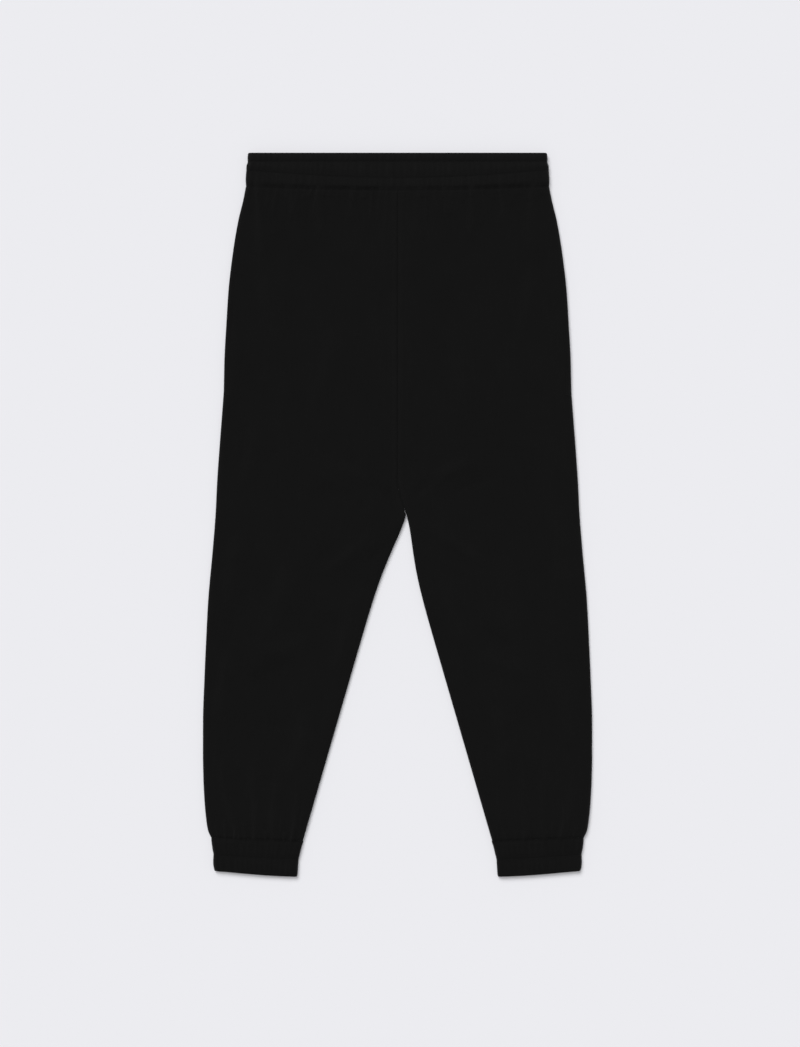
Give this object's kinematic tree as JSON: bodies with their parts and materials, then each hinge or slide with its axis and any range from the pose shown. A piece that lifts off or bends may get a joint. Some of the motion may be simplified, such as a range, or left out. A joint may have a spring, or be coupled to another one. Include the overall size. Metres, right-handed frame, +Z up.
{
  "type": "jogger sweatpants laid flat",
  "caption": "Black fleece jogger sweatpants laid flat, front up, with an elastic waistband, side-seam pockets and elastic cuffs.",
  "frame": {"origin": "on the surface the garment lies on, under the middle of its outline", "axes": "+X across the garment towards the wearer's left leg, +Y up the garment from the hems to the waistband, +Z up out of the front"},
  "size_m": [0.538, 1, 0.0108],
  "materials": {
    "fleece": "matt black sweatshirt fleece, smooth knitted face with a faint nap",
    "casing": "the same fleece gathered over elastic and stitched through",
    "pocketing": "thin matt black jersey",
    "thread": "black spun polyester sewing thread, slight sheen"
  },
  "bodies": {
    "root": {"front_left": "fleece", "front_right": "fleece", "back_left": "fleece", "back_right": "fleece", "waistband": "casing", "cuff_left": "casing", "cuff_right": "casing", "pocket_bag_left": "pocketing", "pocket_bag_right": "pocketing"}
  },
  "joints": []
}
